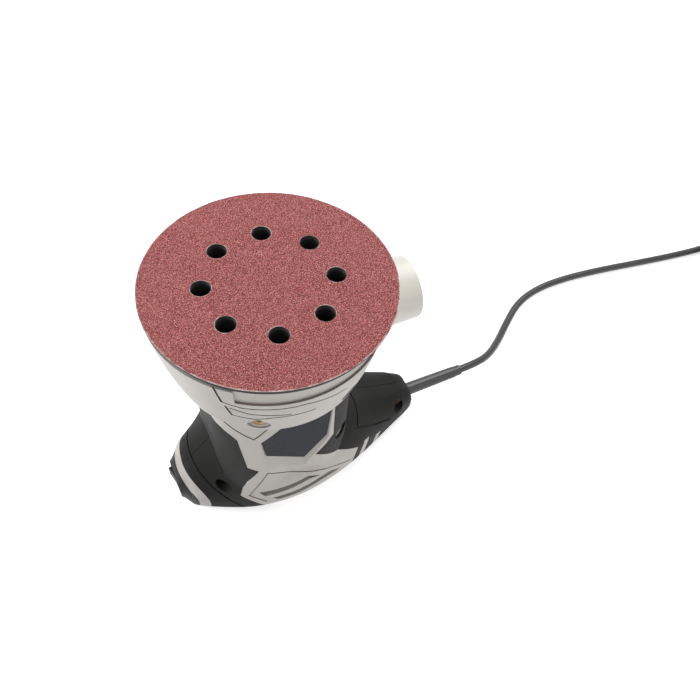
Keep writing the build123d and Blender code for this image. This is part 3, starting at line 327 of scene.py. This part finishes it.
def abrasive_material():
    """Red-brown grit, with pale torn paper at the cut edges and dark cloth below it."""
    mat, g, shader = new_material("abrasive_grain")
    coord = g.node("ShaderNodeTexCoord").outputs
    where = coord["Object"]
    colour, pick, height = grit(g, where)
    field = use_group(g, hole_field)
    fray = g.math("MULTIPLY", g.math("SUBTRACT", g.noise(where, 1100.0, 3.0, 0.7), 0.5), FRAY * MM)
    inner = g.math("ADD", field["Hole"], fray)
    outer = g.math("ADD", field["Axis"], fray)
    torn = g.math("MAXIMUM", g.span(inner, (HOLE_R + 0.3) * MM, HOLE_R * MM),
                  g.span(outer, (DISC_R - 0.6) * MM, (DISC_R - 0.1) * MM))
    torn = g.math("MULTIPLY", torn, g.span(g.noise(where, 210.0, 2.0), 0.42, 0.55))
    cut = g.span(g.split(coord["Normal"])["Z"], 0.8, 0.4)
    low = g.span(g.split(where)["Z"], (FACE_Z - 0.25) * MM, (FACE_Z - 0.35) * MM)
    paper = g.blend(g.noise(where, 900.0, 3.0), (0.42, 0.3, 0.27), (0.86, 0.79, 0.74))
    colour = g.blend(g.math("MAXIMUM", torn, cut), colour, paper)
    colour = g.blend(g.math("MULTIPLY", cut, low), colour, (0.05, 0.04, 0.04))
    g.put(shader.inputs["Base Color"], colour)
    g.put(shader.inputs["Roughness"], g.span(pick, 0.0, 1.0, 0.55, 0.85))
    shader.inputs["Specular IOR Level"].default_value = 0.25
    bump(g, shader, height, 0.1 * MM, 0.8)
    return mat


def turned_material(name, light, dark, rough=(0.22, 0.4)):
    """Machined or plated metal with fine rings and a little tarnish."""
    mat, g, shader = new_material(name)
    where = g.place()
    stretched = g.node("ShaderNodeMapping", Vector=where, Scale=(400.0, 400.0, 4000.0)).outputs["Vector"]
    rings = g.noise(stretched, 1.0, 2.0)
    stain = g.span(g.noise(where, 160.0, 4.0), 0.35, 0.7)
    worn = g.math("ADD", g.math("MULTIPLY", rings, 0.5), g.math("MULTIPLY", stain, 0.5))
    g.put(shader.inputs["Base Color"], g.blend(stain, light, dark))
    g.put(shader.inputs["Roughness"], g.span(worn, 0.2, 0.8, *rough))
    shader.inputs["Metallic"].default_value = 1.0
    bump(g, shader, rings, 0.01 * MM, 0.6)
    return mat


def stack_material(name, light, dark):
    """Sheet stack: half-millimetre layers under varnish."""
    mat, g, shader = new_material(name)
    where = g.place()
    layer = g.math("FRACT", g.math("MULTIPLY", g.split(where)["Z"], 2000.0))
    groove = g.span(g.math("ABSOLUTE", g.math("SUBTRACT", layer, 0.5)), 0.36, 0.5)
    stain = g.noise(where, 120.0, 4.0)
    shade = g.math("MAXIMUM", groove, g.math("MULTIPLY", stain, 0.6))
    g.put(shader.inputs["Base Color"], g.blend(shade, light, dark))
    g.put(shader.inputs["Roughness"], g.span(stain, 0.3, 0.7, 0.3, 0.55))
    shader.inputs["Metallic"].default_value = 0.8
    bump(g, shader, g.math("SUBTRACT", 1.0, groove), 0.05 * MM)
    return mat


def winding_material(name):
    """Enamelled copper wire laid side by side."""
    mat, g, shader = new_material(name)
    wave = g.node("ShaderNodeTexWave", {"bands_direction": "DIAGONAL"}, Vector=g.place(), Scale=420.0,
                  Distortion=1.5)
    wire = wave.outputs["Fac"]
    g.put(shader.inputs["Base Color"], g.blend(wire, (0.2, 0.06, 0.02), (0.66, 0.27, 0.1)))
    g.put(shader.inputs["Roughness"], g.span(wire, 0.0, 1.0, 0.5, 0.25))
    shader.inputs["Metallic"].default_value = 0.85
    bump(g, shader, wire, 0.2 * MM)
    return mat


# The light plastic of housing, skirt and nose ring
SHELL_PLASTIC = {
    "light": (0.515, 0.486, 0.455),
    "dark": (0.478, 0.453, 0.425),
    "speck": (0.57, 0.55, 0.52),
    "rough": (0.4, 0.5),
    "grain": 1900.0,
    "depth": 0.035,
}
materials = {
    "abrasive": abrasive_material(),
    "hook_cloth": moulded_material(
        "hook_cloth", (0.02, 0.02, 0.021), (0.045, 0.045, 0.047), (0.1, 0.1, 0.1),
        rough=(0.8, 0.95), grain=1600.0, depth=0.25, specular=0.2, sheen=0.3),
    "pad_foam": moulded_material(
        "pad_foam", (0.016, 0.016, 0.016), (0.03, 0.03, 0.03), (0.06, 0.06, 0.06),
        rough=(0.6, 0.75), grain=1800.0, depth=0.06, specular=0.35),
    "die_cast": moulded_material(
        "die_cast", (0.5, 0.5, 0.51), (0.36, 0.36, 0.37), (0.62, 0.62, 0.62),
        rough=(0.4, 0.55), grain=900.0, depth=0.06, metallic=0.9),
    "steel": turned_material("turned_steel", (0.55, 0.55, 0.56), (0.4, 0.39, 0.38)),
    "bearing_steel": turned_material("bearing_steel", (0.68, 0.68, 0.7), (0.55, 0.55, 0.56), (0.12, 0.25)),
    "screw_steel": turned_material("plated_screw", (0.3, 0.195, 0.1), (0.15, 0.09, 0.045), (0.38, 0.55)),
    "fan_plastic": moulded_material(
        "fan_plastic", (0.025, 0.025, 0.027), (0.045, 0.045, 0.047), (0.1, 0.1, 0.1), rough=(0.4, 0.6)),
    "weight_iron": moulded_material(
        "weight_iron", (0.16, 0.16, 0.165), (0.08, 0.08, 0.08), (0.2, 0.12, 0.07),
        rough=(0.5, 0.7), grain=700.0, depth=0.12, metallic=0.8),
    "laminations": stack_material("sheet_stack", (0.3, 0.29, 0.28), (0.08, 0.075, 0.07)),
    "copper": winding_material("copper_wire"),
    "brush_carbon": moulded_material(
        "brush_carbon", (0.02, 0.02, 0.021), (0.04, 0.04, 0.042), (0.12, 0.08, 0.05), rough=(0.5, 0.7)),
    "housing_plastic": moulded_material("housing_plastic", **SHELL_PLASTIC, seam=True),
    "skirt_plastic": moulded_material("skirt_plastic", **SHELL_PLASTIC),
    "grip_rubber": moulded_material(
        "grip_rubber", (0.0132, 0.0132, 0.0126), (0.0188, 0.0188, 0.0179), (0.03, 0.03, 0.03),
        rough=(0.54, 0.66), depth=0.05, specular=0.1, sheen=0.02, seam=True),
    "plate_film": moulded_material(
        "plate_film", (0.021, 0.0225, 0.028), (0.028, 0.0295, 0.036), (0.06, 0.06, 0.068),
        rough=(0.5, 0.62), grain=700.0, depth=0.015, specular=0.1),
    "port_plastic": moulded_material(
        "port_plastic", (0.81, 0.78, 0.715), (0.75, 0.72, 0.655), (0.84, 0.81, 0.75),
        rough=(0.34, 0.44), depth=0.02),
    "switch_plastic": moulded_material(
        "switch_plastic", (0.014, 0.014, 0.015), (0.024, 0.024, 0.025), (0.06, 0.06, 0.06),
        rough=(0.4, 0.52), grain=1700.0, depth=0.02, specular=0.22),
    "holder_plastic": moulded_material(
        "holder_plastic", (0.06, 0.035, 0.02), (0.09, 0.055, 0.03), (0.12, 0.09, 0.06), rough=(0.35, 0.5)),
    "felt": moulded_material(
        "brake_rubber", (0.03, 0.03, 0.03), (0.05, 0.05, 0.05), (0.1, 0.1, 0.1),
        rough=(0.6, 0.8), grain=1200.0, depth=0.1),
    "cord_sheath": moulded_material(
        "cord_sheath", (0.016, 0.016, 0.017), (0.026, 0.026, 0.027), (0.05, 0.05, 0.05),
        rough=(0.28, 0.4), grain=2600.0, depth=0.012, coat=0.15, mottle=90.0),
    "tie_plastic": moulded_material(
        "tie_plastic", (0.02, 0.02, 0.02), (0.04, 0.04, 0.04), (0.1, 0.1, 0.1),
        rough=(0.5, 0.7), grain=1400.0, depth=0.12),
    "pin_metal": turned_material("plug_pin_metal", (0.66, 0.6, 0.48), (0.5, 0.45, 0.36)),
}


def only(piece):
    """Deselect everything, then select one piece."""
    bpy.ops.object.select_all(action="DESELECT")
    piece.select_set(True)
    bpy.context.view_layer.objects.active = piece


def belong(piece, *replaced):
    """The piece takes the place and body of CAD nodes."""
    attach(piece, body_of_node[replaced[0]])
    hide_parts(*replaced)


def dress(node, rounding):
    """Copy of a node with its triangles joined into faces, its edges softened and its curves smooth."""
    mesh = nodes[node].data.copy()
    mesh.name = f"{node}_skin"
    mesh.materials.clear()
    mesh.materials.append(materials[FINISH.get(node, slot_of_node[node])])
    piece = bpy.data.objects.new(f"skin_{node}", mesh)
    bpy.context.scene.collection.objects.link(piece)
    only(piece)
    bpy.ops.object.mode_set(mode="EDIT")
    bpy.ops.mesh.select_all(action="SELECT")
    bpy.ops.mesh.remove_doubles(threshold=JOIN_GAP * MM)
    bpy.ops.mesh.dissolve_degenerate(threshold=SLIVER * MM)
    if rounding and node not in CUT_LATER:
        bpy.ops.mesh.dissolve_limited(angle_limit=FLAT_ANGLE)
    bpy.ops.object.mode_set(mode="OBJECT")
    bpy.ops.object.shade_smooth_by_angle(angle=EDGE_ANGLE)
    # Painted shade for grooves, slots and pockets, stored per face
    if node in GROOVED:
        paint_crevice_shade(piece, *(SLOT_SHADE if node.endswith("housing") else GROOVE_SHADE))
    if rounding:
        soften_edges(piece, rounding)
    belong(piece, node)
    return piece


def soften_edges(piece, rounding):
    """Live rounding of a piece's edges, with even shading of its broad faces."""
    mod = piece.modifiers.new("soft_edges", "BEVEL")
    mod.width = rounding * MM
    mod.segments = 2
    mod.limit_method = "ANGLE"
    mod.angle_limit = EDGE_ANGLE
    even = piece.modifiers.new("even_shading", "WEIGHTED_NORMAL")
    even.keep_sharp = True


def sky_directions(count=24):
    """Directions over a face, spread evenly as seen from it, as (sideways, sideways, up)."""
    spread = []
    for i in range(count):
        turn = i * math.pi * (3 - math.sqrt(5))
        side = math.sqrt((i + 0.5) / count)
        spread.append(Vector((side * math.cos(turn), side * math.sin(turn), math.sqrt(1 - side * side))))
    return spread


def paint_crevice_shade(piece, reach, start, full):
    """Shade each face by the share of directions that the piece itself closes off within a short reach."""
    mesh = piece.data
    mesh.calc_loop_triangles()
    tree = BVHTree.FromPolygons([v.co for v in mesh.vertices], [t.vertices for t in mesh.loop_triangles])
    largest = {}
    for triangle in mesh.loop_triangles:
        best = largest.get(triangle.polygon_index)
        if best is None or triangle.area > best.area:
            largest[triangle.polygon_index] = triangle
    directions = sky_directions()
    # Per-face share of painted shade, which the materials mix into their colour
    painted_shade = mesh.attributes.new("painted_shade", "FLOAT", "FACE")
    for face, triangle in largest.items():
        normal = triangle.normal
        turned = normal.to_track_quat("Z", "X")
        place = triangle.center + normal * RAY_LIFT * MM
        closed = sum(tree.ray_cast(place, turned @ way, reach * MM)[0] is not None for way in directions)
        share = (closed / len(directions) - start) / (full - start)
        painted_shade.data[face].value = min(max(share, 0.0), 1.0)


def settle(piece):
    """Put a new piece's place, turn and scale into its mesh."""
    only(piece)
    bpy.ops.object.transform_apply(location=True, rotation=True, scale=True)


def cut_away(piece, cutter, crossing=False):
    """Take a cutter's form out of a piece, whose soft edges are made first."""
    only(piece)
    if "soft_edges" in piece.modifiers:
        bpy.ops.object.modifier_apply(modifier="soft_edges")
    cut = piece.modifiers.new("cut", "BOOLEAN")
    cut.operation = "DIFFERENCE"
    cut.object = cutter
    cut.use_self = crossing
    bpy.ops.object.modifier_move_to_index(modifier=cut.name, index=0)
    bpy.ops.object.modifier_apply(modifier=cut.name)
    bpy.data.objects.remove(cutter)


def recess_cutter(place, way):
    """Tapered cross, its wide end just proud of a screw's head at a place, looking along a way."""
    bpy.ops.object.select_all(action="DESELECT")
    bpy.ops.mesh.primitive_cube_add(size=1.0, location=(0.0, 0.0, 0.0))
    cutter = bpy.context.active_object
    for face in cutter.data.polygons:
        face.select = face.normal.z < -0.9
    for edge in cutter.data.edges:
        edge.select = all(cutter.data.vertices[v].co.z < 0 for v in edge.vertices)
    for vertex in cutter.data.vertices:
        vertex.select = vertex.co.z < 0
    bpy.ops.object.mode_set(mode="EDIT")
    bpy.ops.mesh.select_mode(type="FACE")
    bpy.ops.transform.resize(value=(RECESS_TAPER, RECESS_TAPER, 1.0))
    bpy.ops.mesh.select_all(action="SELECT")
    bpy.ops.transform.resize(value=(RECESS_W * MM, RECESS_ARM * RECESS_W * MM, 2 * RECESS_DEPTH * MM))
    bpy.ops.mesh.duplicate()
    bpy.ops.transform.rotate(value=math.pi / 2, orient_axis="Z", center_override=(0.0, 0.0, 0.0))
    bpy.ops.object.mode_set(mode="OBJECT")
    turned = Vector(way).to_track_quat("Z", "Y").to_matrix().to_4x4()
    cutter.matrix_world = Matrix.Translation(Vector(place) * MM) @ turned
    settle(cutter)
    return cutter


def shape_skirt_screws(piece):
    """Cross recess in the head of each screw round the skirt."""
    for turn in SKIRT_SCREW_ANGLES:
        x = math.cos(math.radians(turn))
        y = math.sin(math.radians(turn))
        place = (SKIRT_HEAD_R * x, SKIRT_HEAD_R * y, SKIRT_SCREW_Z)
        cut_away(piece, recess_cutter(place, (x, y, 0.0)), crossing=True)


def shape_housing_screws(piece):
    """Cross recess in the head of each screw on the housing's near side."""
    for place in HOUSING_HEADS:
        cut_away(piece, recess_cutter(place, (0.0, -1.0, 0.0)), crossing=True)


def shape_plug(piece):
    """Ring grooves round the plug's strain relief, and a finger hollow on each broad side."""
    low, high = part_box("plug_body")
    y = (low[1] + high[1]) / 2
    z = (low[2] + high[2]) / 2
    for i in range(RELIEF_GROOVES):
        share = (i + 1) / (RELIEF_GROOVES + 1)
        radius = RELIEF_R0 + (RELIEF_R1 - RELIEF_R0) * share
        bpy.ops.object.select_all(action="DESELECT")
        bpy.ops.mesh.primitive_torus_add(
            major_radius=radius * MM, minor_radius=GROOVE_R * MM, major_segments=48, minor_segments=10,
            rotation=(0.0, math.pi / 2, 0.0), location=(low[0] + RELIEF_L * share * MM, y, z))
        ring = bpy.context.active_object
        settle(ring)
        cut_away(piece, ring)
    for side in (-1, 1):
        place = (high[0] - FINGER_BACK * MM, y, z + side * (high[2] - low[2]) / 2 + side * FINGER_OUT * MM)
        bpy.ops.object.select_all(action="DESELECT")
        bpy.ops.mesh.primitive_uv_sphere_add(segments=40, ring_count=20, radius=FINGER_R * MM, location=place)
        finger = bpy.context.active_object
        bpy.ops.transform.resize(value=FINGER_FORM)
        settle(finger)
        cut_away(piece, finger)


def bend_tie(piece):
    """Round the strap's four bends, first their outer and then their inner edges."""
    low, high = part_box("coil_tie")
    out = Vector((low[0] + high[0] - 2 * COIL_X * MM, low[1] + high[1] - 2 * COIL_Y * MM, 0.0)).normalized()
    across = Vector((-out.y, out.x, 0.0))
    only(piece)
    for outer, radius in ((True, TIE_BEND_R + TIE_T), (False, TIE_BEND_R)):
        bpy.ops.object.mode_set(mode="EDIT")
        bpy.ops.mesh.select_mode(type="EDGE")
        bpy.ops.mesh.select_all(action="DESELECT")
        shape = bmesh.from_edit_mesh(piece.data)
        for edge in shape.edges:
            run = (edge.verts[1].co - edge.verts[0].co).normalized()
            bend = edge.is_manifold and edge.calc_face_angle() > 1.0
            edge.select_set(bend and abs(run.dot(across)) > 0.99 and edge.is_convex == outer)
        bmesh.update_edit_mesh(piece.data)
        bpy.ops.mesh.bevel(offset=radius * MM, segments=5)
        bpy.ops.object.mode_set(mode="OBJECT")
    bpy.ops.object.shade_smooth_by_angle(angle=EDGE_ANGLE)


SHAPED = {
    "skirt_screws": shape_skirt_screws,
    "housing_screws": shape_housing_screws,
    "plug_body": shape_plug,
    "coil_tie": bend_tie,
}


def coil_points():
    """Control points of the coil, set out a little so that the smooth line runs at the coil's own radius."""
    per_turn = 16
    out = 1 / math.cos(math.pi / per_turn)
    total = TURNS_IN + TURNS_OVER + TURNS_OUT
    points = []
    for i in range(1, round(total * per_turn)):
        turns = i / per_turn
        if turns <= TURNS_IN:
            radius = COIL_START_R - COIL_PITCH * turns
            z = COIL_LOW_Z
        elif turns <= TURNS_IN + TURNS_OVER:
            share = (turns - TURNS_IN) / TURNS_OVER
            radius = COIL_INNER_R - COIL_PITCH / 4 * (1 - abs(1 - 2 * share))
            z = COIL_LOW_Z + COIL_PITCH * share * share * (3 - 2 * share)
        else:
            radius = COIL_INNER_R + COIL_PITCH * (turns - TURNS_IN - TURNS_OVER)
            z = COIL_HIGH_Z
        angle = math.pi / 2 - 2 * math.pi * turns
        points.append((COIL_X + radius * out * math.cos(angle), COIL_Y + radius * out * math.sin(angle), z))
    return points


def make_cord():
    """The free cord as one smooth line from the sleeve through the coil to the plug."""
    end_y = COIL_Y + COIL_END_R
    last = [(x, end_y, COIL_HIGH_Z) for x in (COIL_X, COIL_X + TAIL_LEAD, COIL_X + CORD_D + TAIL_RUN)]
    points = list(ROUTE) + coil_points() + last
    curve = bpy.data.curves.new("mains_cord", "CURVE")
    curve.dimensions = "3D"
    curve.bevel_depth = CORD_R * MM
    curve.bevel_resolution = 6
    curve.resolution_u = 6
    curve.use_fill_caps = True
    line = curve.splines.new("NURBS")
    line.points.add(len(points) - 1)
    for point, place in zip(line.points, points):
        point.co = (*(c * MM for c in place), 1.0)
    line.order_u = 3
    line.use_endpoint_u = True
    curve.materials.append(materials["cord_sheath"])
    piece = bpy.data.objects.new("mains_cord", curve)
    bpy.context.scene.collection.objects.link(piece)
    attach(piece, "housing")
    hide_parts("cord", "cord_coil", "cord_tail")
    return piece


def make_camera():
    """The photograph's view: place and directions solved from the disc, its holes and the tail."""
    right = Vector((0.90045, -0.429492, 0.068751))
    down = Vector((-0.310723, -0.745777, -0.589294))
    ahead = Vector((0.304371, 0.509267, -0.804988))
    place = Vector((-0.076905, -0.212252, 0.422256))
    data = bpy.data.cameras.new("photo_camera")
    data.sensor_width = 36.0
    data.lens = 36.35
    data.clip_start = 0.01
    camera = bpy.data.objects.new("photo_camera", data)
    rows = [(right[i], -down[i], -ahead[i], place[i]) for i in range(3)]
    camera.matrix_world = Matrix((*rows, (0, 0, 0, 1)))
    bpy.context.scene.collection.objects.link(camera)
    bpy.context.scene.camera = camera


def area_light(name, place, target, size, power):
    """Round lamp at a place, turned to a target."""
    data = bpy.data.lights.new(name, "AREA")
    data.shape = "DISK"
    data.size = size
    data.energy = power
    light = bpy.data.objects.new(name, data)
    light.location = place
    light.rotation_euler = (Vector(target) - Vector(place)).to_track_quat("-Z", "Y").to_euler()
    bpy.context.scene.collection.objects.link(light)


def seen_ray(g):
    """1 for rays from the camera, off gloss or through glass, and 0 for the rest."""
    light_path = g.node("ShaderNodeLightPath").outputs
    seen = g.math("MAXIMUM", light_path["Is Camera Ray"], light_path["Is Glossy Ray"])
    return g.math("MAXIMUM", seen, light_path["Is Transmission Ray"])


def make_floor():
    """Pale floor that is white to the camera and keeps the shadow."""
    bpy.ops.object.select_all(action="DESELECT")
    bpy.ops.mesh.primitive_grid_add(
        x_subdivisions=4, y_subdivisions=4, size=FLOOR_SIZE, location=(0.0, 0.0, -FLOOR_DROP * MM))
    floor = bpy.context.active_object
    floor.name = "floor"
    settle(floor)
    mat, g, shader = new_material("pale_floor")
    shader.inputs["Base Color"].default_value = (0.9, 0.9, 0.9, 1.0)
    shader.inputs["Roughness"].default_value = 0.9
    shader.inputs["Specular IOR Level"].default_value = 0.1
    shader.inputs["Emission Color"].default_value = (1.0, 1.0, 1.0, 1.0)
    g.put(shader.inputs["Emission Strength"], g.math("MULTIPLY", seen_ray(g), FLOOR_GLOW))
    floor.data.materials.append(mat)


def make_studio():
    """White surroundings that light the part at a lower level, and three soft lamps."""
    world = bpy.data.worlds.new("studio")
    world.use_nodes = True
    g = Graph(world.node_tree)
    background = world.node_tree.nodes["Background"].inputs
    background["Color"].default_value = (1.0, 1.0, 1.0, 1.0)
    g.put(background["Strength"], g.span(seen_ray(g), 0.0, 1.0, SKY, 1.0))
    bpy.context.scene.world = world
    area_light("key", (-0.72, 0.35, 0.65), (0.0, 0.0, 0.12), 0.7, KEY)
    area_light("fill", (0.4, -0.8, 0.55), (0.0, 0.0, 0.07), 0.7, FILL)
    area_light("back", (0.45, 0.33, 0.95), (0.0, 0.0, 0.1), 0.8, BACK)


pieces = {}
for name, width in ROUNDED.items():
    pieces[name] = dress(name, width)
    if name in SHAPED:
        SHAPED[name](pieces[name])
for name, obj in nodes.items():
    if name not in ROUNDED:
        obj.data.materials.clear()
        obj.data.materials.append(materials[slot_of_node[name]])

cord = make_cord()

make_camera()
make_floor()
make_studio()
bpy.context.scene.view_settings.view_transform = "Standard"
